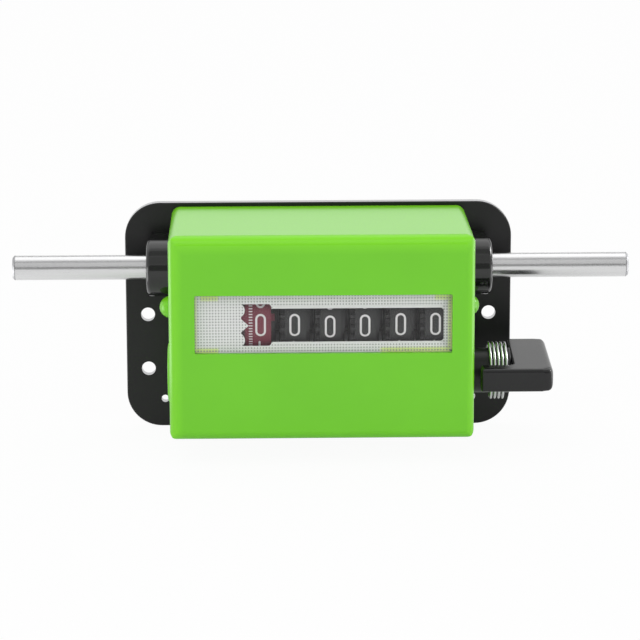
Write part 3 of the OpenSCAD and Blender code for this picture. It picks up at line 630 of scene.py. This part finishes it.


# paints the fill light into the black wheels' base colour by distance from the axle
def paintRecessFillLight(material):
    tree = material.node_tree
    place = objectPlace(tree)
    squares = []
    for axis, middle in zip(("Y", "Z"), figures["axle"]):
        off = combine(tree, "SUBTRACT", place.outputs[axis], middle * mm)
        squares.append(combine(tree, "MULTIPLY", off, off))
    reach = combine(tree, "SQRT", combine(tree, "ADD", *squares))
    start, stop = ((figures["drumRadius"] - depth) * mm for depth in recessFillLight["depth"])
    colour = tree.nodes["Principled BSDF"].inputs["Base Color"]
    feed(tree, colour, blend(tree, between(tree, reach, start, stop), colour.links[0].from_socket, recessFillLight["colour"]))


figureWhite = makeMaterial("figureWhite", {
    "colour": (0.76, 0.74, 0.75),
    "Tone Spread": 0.02,
    "Roughness": 0.55,
    "Grain Scale": 1500.0,
    "bump": 0.05,
})
redDrumOnly(wheelRed)
paintRecessFillLight(wheelBlack)
dress(wheelRed, "tenths_wheel")
dress(wheelBlack, *[order + "_wheel" for order in orders[1:]])
dress(acetal, "drive_gear", "idler_gear")
dress(blackAcetal, *[order + "_cam" for order in orders], *[order + "_carry_pinion" for order in orders[1:]])
print("wheels dressed")


def arc(cx, cy, rx, ry, start, end, steps=14):
    angles = [math.radians(start + (end - start) * i / steps) for i in range(steps + 1)]
    return [(cx + rx * math.cos(a), cy + ry * math.sin(a)) for a in angles]


def eased(points, radius):
    made = [points[0]]
    for before, corner, after in zip(points, points[1:], points[2:]):
        into, out = Vector(before) - Vector(corner), Vector(after) - Vector(corner)
        if into.angle(out) > math.radians(figures["sharpest"]):
            made.append(corner)
            continue
        a = Vector(corner) + into.normalized() * min(radius, into.length / 2)
        b = Vector(corner) + out.normalized() * min(radius, out.length / 2)
        for i in range(figures["roundSteps"] + 1):
            t = i / figures["roundSteps"]
            made.append(tuple(a * (1 - t) ** 2 + Vector(corner) * 2 * t * (1 - t) + b * t ** 2))
    return made + [points[-1]]


# a figure is one or two strokes: a path about the figure's middle, and whether its ends join
def digitStrokes(digit):
    w = (figures["width"] - figures["stroke"]) / 2
    h = (figures["height"] - figures["stroke"]) / 2
    ease = figures["cornerRound"]
    if digit == 0:
        return [(arc(0, h - w, w, w, 0, 180) + arc(0, w - h, w, w, 180, 360), True)]
    if digit == 1:
        return [(eased([(-0.8, h - 1.1), (0.35, h), (0.35, -h)], ease), False)]
    if digit == 2:
        return [(eased(arc(0, h - w, w, w, 175, -25) + [(-w, -h), (w, -h)], ease), False)]
    if digit == 3:
        return [(arc(0, h - w, w, w, 160, -90) + arc(0, -1.45, w, h - 1.45, 90, -160)[1:], False)]
    if digit == 4:
        return [(eased([(0.4, h), (-w, -1.2), (w, -1.2)], ease), False), ([(0.7, 0.8), (0.7, -h)], False)]
    if digit == 5:
        bowl = arc(-0.05, -1.2, w + 0.05, h - 1.2, 135, -150)
        return [(eased([(1.25, h), (-1.15, h), (-1.3, 0.2)], ease) + bowl, False)]
    if digit in (6, 9):
        flip = 1 if digit == 6 else -1
        hook = [(-w, -1.4), (-w, 0.9)] + arc(0.35, 0.9, w + 0.35, h - 0.9, 180, 70)[1:]
        bowl = arc(0, -1.4, w, h - 1.4, 0, 360)[:-1]
        return [([(x * flip, y * flip) for x, y in path], closed) for path, closed in ((bowl, True), (hook, False))]
    if digit == 7:
        return [(eased([(-w, h), (w, h), (-0.45, -h)], ease), False)]
    bowls = (arc(0, 1.65, w - 0.15, h - 1.65, 0, 360), arc(0, -1.5, w, h - 1.5, 0, 360))
    return [(bowl[:-1], True) for bowl in bowls]


def resampled(points, closed):
    path = [Vector(p) for p in points] + ([Vector(points[0])] if closed else [])
    made = []
    for a, b in zip(path, path[1:]):
        count = max(1, math.ceil((b - a).length / figures["step"]))
        if (b - a).length > 1e-6:
            made += [a.lerp(b, i / count) for i in range(count)]
    return made if closed else made + [path[-1]]


def addStroke(mesh, points, closed, lift, place):
    path = resampled(points, closed)
    half = figures["stroke"] / 2
    count = len(path)
    rims = []
    for i, point in enumerate(path):
        before = path[i - 1] if closed or i else point
        after = path[(i + 1) % count] if closed or i < count - 1 else point
        along = (after - before).normalized()
        rims.append((point, Vector((-along.y, along.x)) * half))
    left = [p + n for p, n in rims]
    right = [p - n for p, n in rims]
    levels = (figures["proud"] + lift, -figures["sunk"])
    rows = [[[mesh.verts.new(place(p, level)) for p in side] for side in (left, right)] for level in levels]
    (topLeft, topRight), (lowLeft, lowRight) = rows
    for i in range(count if closed else count - 1):
        j = (i + 1) % count
        mesh.faces.new((topLeft[i], topLeft[j], topRight[j], topRight[i]))
        mesh.faces.new((lowLeft[j], lowLeft[i], lowRight[i], lowRight[j]))
        mesh.faces.new((lowLeft[i], lowLeft[j], topLeft[j], topLeft[i]))
        mesh.faces.new((topRight[i], topRight[j], lowRight[j], lowRight[i]))
    if closed:
        return
    steps = figures["endSteps"]
    for end, turn in ((0, 1), (count - 1, -1)):
        point, normal = rims[end]
        bulge = [point + Matrix.Rotation(turn * math.pi * k / steps, 2) @ normal for k in range(1, steps)]
        tops, lows = ([mesh.verts.new(place(p, level)) for p in bulge] for level in levels)
        top = [topLeft[end], *tops, topRight[end]]
        low = [lowLeft[end], *lows, lowRight[end]]
        mesh.faces.new(top)
        mesh.faces.new(low[::-1])
        for k in range(len(top) - 1):
            mesh.faces.new((top[k], top[k + 1], low[k + 1], low[k]))


def newPiece(name, mesh, material, body):
    piece = bpy.data.objects.new(name, mesh)
    bpy.context.scene.collection.objects.link(piece)
    mesh.materials.clear()
    mesh.materials.append(material)
    if body:
        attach(piece, body)
    return piece


def shadeSmooth(mesh):
    for face in mesh.polygons:
        face.use_smooth = True


def wheelFigures(k):
    radius, (axleY, axleZ) = figures["drumRadius"], figures["axle"]
    ahead = math.asin((figures["restHeights"][k] - axleZ) / radius)
    mesh = bmesh.new()
    for digit in range(10):
        def onDrum(point, level):
            turn = math.radians(36 * digit) - ahead + point.y / radius
            reach = radius + level
            y, z = axleY - reach * math.cos(turn), axleZ - reach * math.sin(turn)
            return Vector((figures["wheelX"][k] - point.x, y, z)) * mm
        for stroke, (points, closed) in enumerate(digitStrokes(digit)):
            addStroke(mesh, points, closed, stroke * figures["overlap"], onDrum)
    bmesh.ops.recalc_face_normals(mesh, faces=mesh.faces)
    data = bpy.data.meshes.new(orders[k] + "Figures")
    mesh.to_mesh(data)
    mesh.free()
    newPiece(orders[k] + "_figures", data, figureWhite, orders[k])


for k in range(len(orders)):
    wheelFigures(k)
print("figures printed on", len(orders), "wheels")


# Geometry Nodes: what repeats or follows a path

def newTree(name, inputs):
    tree = bpy.data.node_groups.new(name, "GeometryNodeTree")
    tree.interface.new_socket("Geometry", in_out="INPUT", socket_type="NodeSocketGeometry")
    for label, kind, value in inputs:
        tree.interface.new_socket(label, in_out="INPUT", socket_type=kind).default_value = value
    tree.interface.new_socket("Geometry", in_out="OUTPUT", socket_type="NodeSocketGeometry")
    return tree, tree.nodes.new("NodeGroupInput"), tree.nodes.new("NodeGroupOutput")


def grow(source, tree, values, material, body, name):
    bpy.context.scene.collection.objects.link(source)
    modifier = source.modifiers.new("grow", "NODES")
    modifier.node_group = tree
    for item in tree.interface.items_tree:
        if item.in_out == "INPUT" and item.name in values:
            modifier[item.identifier] = values[item.name]
    graph = bpy.context.evaluated_depsgraph_get()
    mesh = bpy.data.meshes.new_from_object(source.evaluated_get(graph), depsgraph=graph)
    source.modifiers.remove(modifier)
    bpy.data.objects.remove(source)
    mesh.name = name
    return newPiece(name, mesh, material, body)


ticks = {"count": 100, "left": -22.9, "right": -21.75, "thickness": 0.34, "proud": 0.035, "sunk": 0.05}


def scaleTicks():
    tree, entry, leave = newTree("scaleTicks", [
        ("Count", "NodeSocketInt", 10),
        ("Size", "NodeSocketVector", (1, 1, 1)),
        ("Radius", "NodeSocketFloat", 1.0),
        ("Centre", "NodeSocketVector", (0, 0, 0)),
    ])
    line = addNode(tree, "GeometryNodeMeshLine", {"Offset": (0, 0, 0)})
    block = addNode(tree, "GeometryNodeMeshCube")
    reach = addNode(tree, "ShaderNodeCombineXYZ")
    moved = addNode(tree, "GeometryNodeTransform")
    index = addNode(tree, "GeometryNodeInputIndex")
    step = combine(tree, "DIVIDE", 2 * math.pi, entry.outputs["Count"])
    angle = combine(tree, "MULTIPLY", index.outputs[0], step)
    turn = addNode(tree, "ShaderNodeCombineXYZ")
    copies = addNode(tree, "GeometryNodeInstanceOnPoints")
    real = addNode(tree, "GeometryNodeRealizeInstances")
    placed = addNode(tree, "GeometryNodeTransform")
    paint = addNode(tree, "GeometryNodeSetMaterial", {"Material": figureWhite})
    for a, b in (
        (entry.outputs["Count"], line.inputs["Count"]),
        (entry.outputs["Size"], block.inputs["Size"]),
        (entry.outputs["Radius"], reach.inputs["Z"]),
        (block.outputs["Mesh"], moved.inputs["Geometry"]),
        (reach.outputs[0], moved.inputs["Translation"]),
        (angle, turn.inputs["X"]),
        (line.outputs["Mesh"], copies.inputs["Points"]),
        (moved.outputs[0], copies.inputs["Instance"]),
        (turn.outputs[0], copies.inputs["Rotation"]),
        (copies.outputs[0], real.inputs[0]),
        (real.outputs[0], placed.inputs["Geometry"]),
        (entry.outputs["Centre"], placed.inputs["Translation"]),
        (placed.outputs[0], paint.inputs["Geometry"]),
        (paint.outputs[0], leave.inputs[0]),
    ):
        tree.links.new(a, b)
    thick = ticks["proud"] + ticks["sunk"]
    middle = (ticks["left"] + ticks["right"]) / 2
    axleY, axleZ = figures["axle"]
    values = {
        "Count": ticks["count"],
        "Size": Vector((ticks["right"] - ticks["left"], ticks["thickness"], thick)) * mm,
        "Radius": (figures["drumRadius"] + ticks["proud"] - thick / 2) * mm,
        "Centre": Vector((middle, axleY, axleZ)) * mm,
    }
    source = bpy.data.objects.new("tickSource", bpy.data.meshes.new("tickSource"))
    grow(source, tree, values, figureWhite, "tenths", "tenths_scale")


scaleTicks()


spring = {
    "axis": (-33.0, -12.2),  # along Y and Z
    "radius": 8.85,
    "wire": 0.8,
    "pitch": 1.25,
    "seatX": 50.0,  # the wire's start, in the boss
    "endX": 62.4,  # the wire's end, in the lever
    "coilEndX": 59.3,
    "sweep": 1600.0 - 11.39,  # degrees round the axis, less the two bends
    "bend": 0.9,  # radius of the two bends between the coil and its straight ends
    "bendSteps": 8,
    "stepsPerTurn": 40,
    "sides": 14,
}


def springWire():
    radius, bend, sweep, endX = (spring[k] for k in ("radius", "bend", "sweep", "coilEndX"))
    bendTurn = math.degrees(bend / radius)
    rise = spring["pitch"] * sweep / 360
    startX = endX - rise
    quarter = [math.pi / 2 * i / spring["bendSteps"] for i in range(spring["bendSteps"] + 1)]
    # each point is its place along X and its turn about the axis in degrees
    path = [(spring["seatX"], 0), (startX - bend - spring["wire"] / 2, 0)]
    path += [(startX - bend + bend * math.sin(u), bendTurn * (1 - math.cos(u))) for u in quarter]
    steps = round(sweep / 360 * spring["stepsPerTurn"])
    path += [(startX + rise * i / steps, bendTurn + sweep * i / steps) for i in range(1, steps + 1)]
    last = bendTurn + sweep
    path += [(endX + bend * (1 - math.sin(u)), last + bendTurn * math.cos(u)) for u in quarter[-2::-1]]
    path.append((spring["endX"], last + bendTurn))
    axisY, axisZ = spring["axis"]
    curve = bpy.data.curves.new("springPath", "CURVE")
    curve.dimensions = "3D"
    line = curve.splines.new("POLY")
    line.points.add(len(path) - 1)
    for point, (x, turn) in zip(line.points, path):
        a = math.radians(turn)
        point.co = (x * mm, (axisY + radius * math.cos(a)) * mm, (axisZ + radius * math.sin(a)) * mm, 1)
    tree, entry, leave = newTree("sweptWire", [
        ("Wire Radius", "NodeSocketFloat", 0.001),
        ("Sides", "NodeSocketInt", 8),
    ])
    ring = addNode(tree, "GeometryNodeCurvePrimitiveCircle")
    swept = addNode(tree, "GeometryNodeCurveToMesh", {"Fill Caps": True})
    real = addNode(tree, "GeometryNodeRealizeInstances")
    paint = addNode(tree, "GeometryNodeSetMaterial", {"Material": springSteel})
    for a, b in (
        (entry.outputs["Wire Radius"], ring.inputs["Radius"]),
        (entry.outputs["Sides"], ring.inputs["Resolution"]),
        (entry.outputs["Geometry"], swept.inputs["Curve"]),
        (ring.outputs["Curve"], swept.inputs["Profile Curve"]),
        (swept.outputs[0], real.inputs[0]),
        (real.outputs[0], paint.inputs["Geometry"]),
        (paint.outputs[0], leave.inputs[0]),
    ):
        tree.links.new(a, b)
    values = {"Wire Radius": spring["wire"] / 2 * mm, "Sides": spring["sides"]}
    source = bpy.data.objects.new("springSource", curve)
    piece = grow(source, tree, values, springSteel, None, "wound_spring")
    shadeSmooth(piece.data)
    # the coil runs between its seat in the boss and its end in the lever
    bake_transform(piece)
    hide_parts("reset_spring")


springWire()
print("ticks and spring grown")


# Lever: the solid's own shape with its right-hand corners melted together

leverSkin = {
    "tilt": 4.5,  # degrees up to the rear
    "voxel": 0.3,
    "rearCorner": 2.6,  # radius seen from above
    "solidCorner": 2.0,  # the same on the solid
    "softWidth": 3.2,  # how far from the right side the edges melt together
    "passes": 9,
    "frontWidth": 3.0,  # the same at the front corners, which are rounder
    "frontPasses": 26,
    "pull": 0.5,  # how far one pass moves a point to the middle of its neighbours
}


# how far out a point at this angle in the rear right corner moves, as a share of its old reach
def cornerShare(angle):
    full, old = leverSkin["rearCorner"], leverSkin["solidCorner"]
    shift = full - old
    along, across = math.cos(angle), math.sin(angle)
    if full * across <= shift * along or full * along <= shift * across:
        return max(along, across)
    return full / (shift * (along + across) + math.sqrt(old ** 2 - (shift * (along - across)) ** 2))


def roundedLever():
    axisY, axisZ = spring["axis"]
    pivot = Matrix.Translation(Vector((0, axisY, axisZ)) * mm)
    tilt = pivot @ Matrix.Rotation(math.radians(leverSkin["tilt"]), 4, "X") @ pivot.inverted()
    solid = nodes["reset_lever"].data.copy()
    solid.transform(tilt.inverted() @ nodes["reset_lever"].matrix_world)
    source = bpy.data.objects.new("leverSource", solid)
    bpy.context.scene.collection.objects.link(source)
    modifier = source.modifiers.new("remesh", "REMESH")
    modifier.mode = "VOXEL"
    modifier.voxel_size = leverSkin["voxel"] * mm
    graph = bpy.context.evaluated_depsgraph_get()
    mesh = bpy.data.meshes.new_from_object(source.evaluated_get(graph), depsgraph=graph)
    bpy.data.objects.remove(source)
    shape = bmesh.new()
    shape.from_mesh(mesh)
    right = max(v.co.x for v in shape.verts)
    centre = Vector((right, max(v.co.y for v in shape.verts))) - Vector((1, 1)) * leverSkin["rearCorner"] * mm
    for v in shape.verts:
        off = v.co.xy - centre
        if off.x > 0 and off.y > 0:
            v.co.xy = centre + off * cornerShare(math.atan2(off.y, off.x))
    front = min(v.co.y for v in shape.verts)
    soft = [v for v in shape.verts if v.co.x > right - leverSkin["softWidth"] * mm]
    corners = [v for v in soft if v.co.y < front + leverSkin["frontWidth"] * mm]
    everyAxis = {"use_axis_" + axis: True for axis in "xyz"}
    for verts, passes in ((soft, leverSkin["passes"]), (corners, leverSkin["frontPasses"])):
        for _ in range(passes):
            bmesh.ops.smooth_vert(shape, verts=verts, factor=leverSkin["pull"], **everyAxis)
    shape.to_mesh(mesh)
    shape.free()
    mesh.transform(tilt)
    mesh.name = "roundedLever"
    piece = newPiece("rounded_lever", mesh, blackMoulding, "reset")
    shadeSmooth(mesh)
    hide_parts("reset_lever")
    print("lever rounded:", len(mesh.polygons), "faces")


roundedLever()


# Window

# glass that lets light straight through, and mirrors it on its front
glass = {"index": 1.46, "tint": (0.97, 0.97, 0.97, 1), "roughness": 0.03}


def windowGlass():
    material = bpy.data.materials.new("windowGlass")
    material.use_nodes = True
    tree = material.node_tree
    shader = tree.nodes["Principled BSDF"]
    shader.inputs["Base Color"].default_value = (1, 1, 1, 1)
    shader.inputs["Metallic"].default_value = 1.0
    shader.inputs["Roughness"].default_value = glass["roughness"]
    clear = addNode(tree, "ShaderNodeBsdfTransparent", {"Color": glass["tint"]})
    fresnel = addNode(tree, "ShaderNodeFresnel", {"IOR": glass["index"]})
    side = addNode(tree, "ShaderNodeNewGeometry")
    front = combine(tree, "SUBTRACT", 1.0, side.outputs["Backfacing"])
    mix = addNode(tree, "ShaderNodeMixShader")
    tree.links.new(combine(tree, "MULTIPLY", fresnel.outputs[0], front), mix.inputs[0])
    tree.links.new(clear.outputs[0], mix.inputs[1])
    tree.links.new(shader.outputs[0], mix.inputs[2])
    tree.links.new(mix.outputs[0], tree.nodes["Material Output"].inputs["Surface"])
    return material


# the mask's colour carries painted light: the plain undotted bands above and below the aperture are a painted
# highlight, the yellow-green tint at its corners and ends is painted green light from the cover let through the pane's
# edges, and the dark patches at its right corners are painted shade
maskLook = {
    "roughness": 0.5,
    "grey": (0.81, 0.815, 0.81),
    "dot": (0.34, 0.35, 0.34),
    "highlightBand": (0.76, 0.77, 0.76),
    "corner": (0.72, 0.86, 0.21),
    "shade": (0.10, 0.16, 0.08),
    "pitch": 0.93,  # from one embossed dot to the next
    "dotLevel": (0.5, 1.1),  # height of the two summed waves where a dot begins and is full
    "bump": {"Strength": 0.2, "Distance": 0.03 * mm},
    "cornerShare": 0.8,
    "cornerSoft": 0.4,
    "highlightBandSoft": 0.1,
    "shadeSoft": 0.25,
    "highlightBands": [
        {"X": (-15.4, 37.9), "Z": (12.6, 13.9)},
        {"X": (-15.4, 37.9), "Z": (1.55, 2.4)},
    ],
    "corners": [
        {"X": (-38.0, -32.5), "Z": (15.5, None)},
        {"X": (None, -32.5), "Z": (None, 0.2)},
        {"X": (35.5, None), "Z": (15.5, None)},
        {"X": (18.5, None), "Z": (None, 0.2)},
        {"X": (39.7, None)},
        {"X": (None, -39.4)},
    ],
    "shades": [
        {"X": (40.3, None), "Z": (17.0, None)},
        {"X": (40.3, None), "Z": (None, -0.6)},
    ],
}


def anyBox(tree, place, boxes, soft):
    share = 0.0
    for box in boxes:
        share = combine(tree, "MAXIMUM", share, insideBox(tree, place, box, soft))
    return share


def maskMaterial():
    material = bpy.data.materials.new("grainedMask")
    material.use_nodes = True
    tree = material.node_tree
    shader = tree.nodes["Principled BSDF"]
    shader.inputs["Roughness"].default_value = maskLook["roughness"]
    place = objectPlace(tree)
    waves = []
    for axis in ("X", "Z"):
        turns = combine(tree, "MULTIPLY", place.outputs[axis], 2 * math.pi / (maskLook["pitch"] * mm))
        waves.append(combine(tree, "SINE", turns))
    grid = combine(tree, "ADD", *waves)
    # painted highlight bands, painted green light at the corners and ends, and painted shade at the right corners
    highlightBand, corner, shade = (
        anyBox(tree, place, maskLook[zone + "s"], maskLook[zone + "Soft"]) for zone in ("highlightBand", "corner", "shade")
    )
    dots = between(tree, grid, *maskLook["dotLevel"])
    dots = combine(tree, "MULTIPLY", dots, combine(tree, "SUBTRACT", 1.0, highlightBand))
    tint = combine(tree, "MULTIPLY", corner, maskLook["cornerShare"])
    colour = maskLook["grey"]
    for share, zone in ((tint, "corner"), (dots, "dot"), (highlightBand, "highlightBand"), (shade, "shade")):
        colour = blend(tree, share, colour, maskLook[zone])
    feed(tree, shader.inputs["Base Color"], colour)
    bump = addNode(tree, "ShaderNodeBump", maskLook["bump"])
    tree.links.new(dots, bump.inputs["Height"])
    tree.links.new(bump.outputs[0], shader.inputs["Normal"])
    return material


dress(windowGlass(), "window_pane")
dress(maskMaterial(), "window_mask")
print("window glazed")
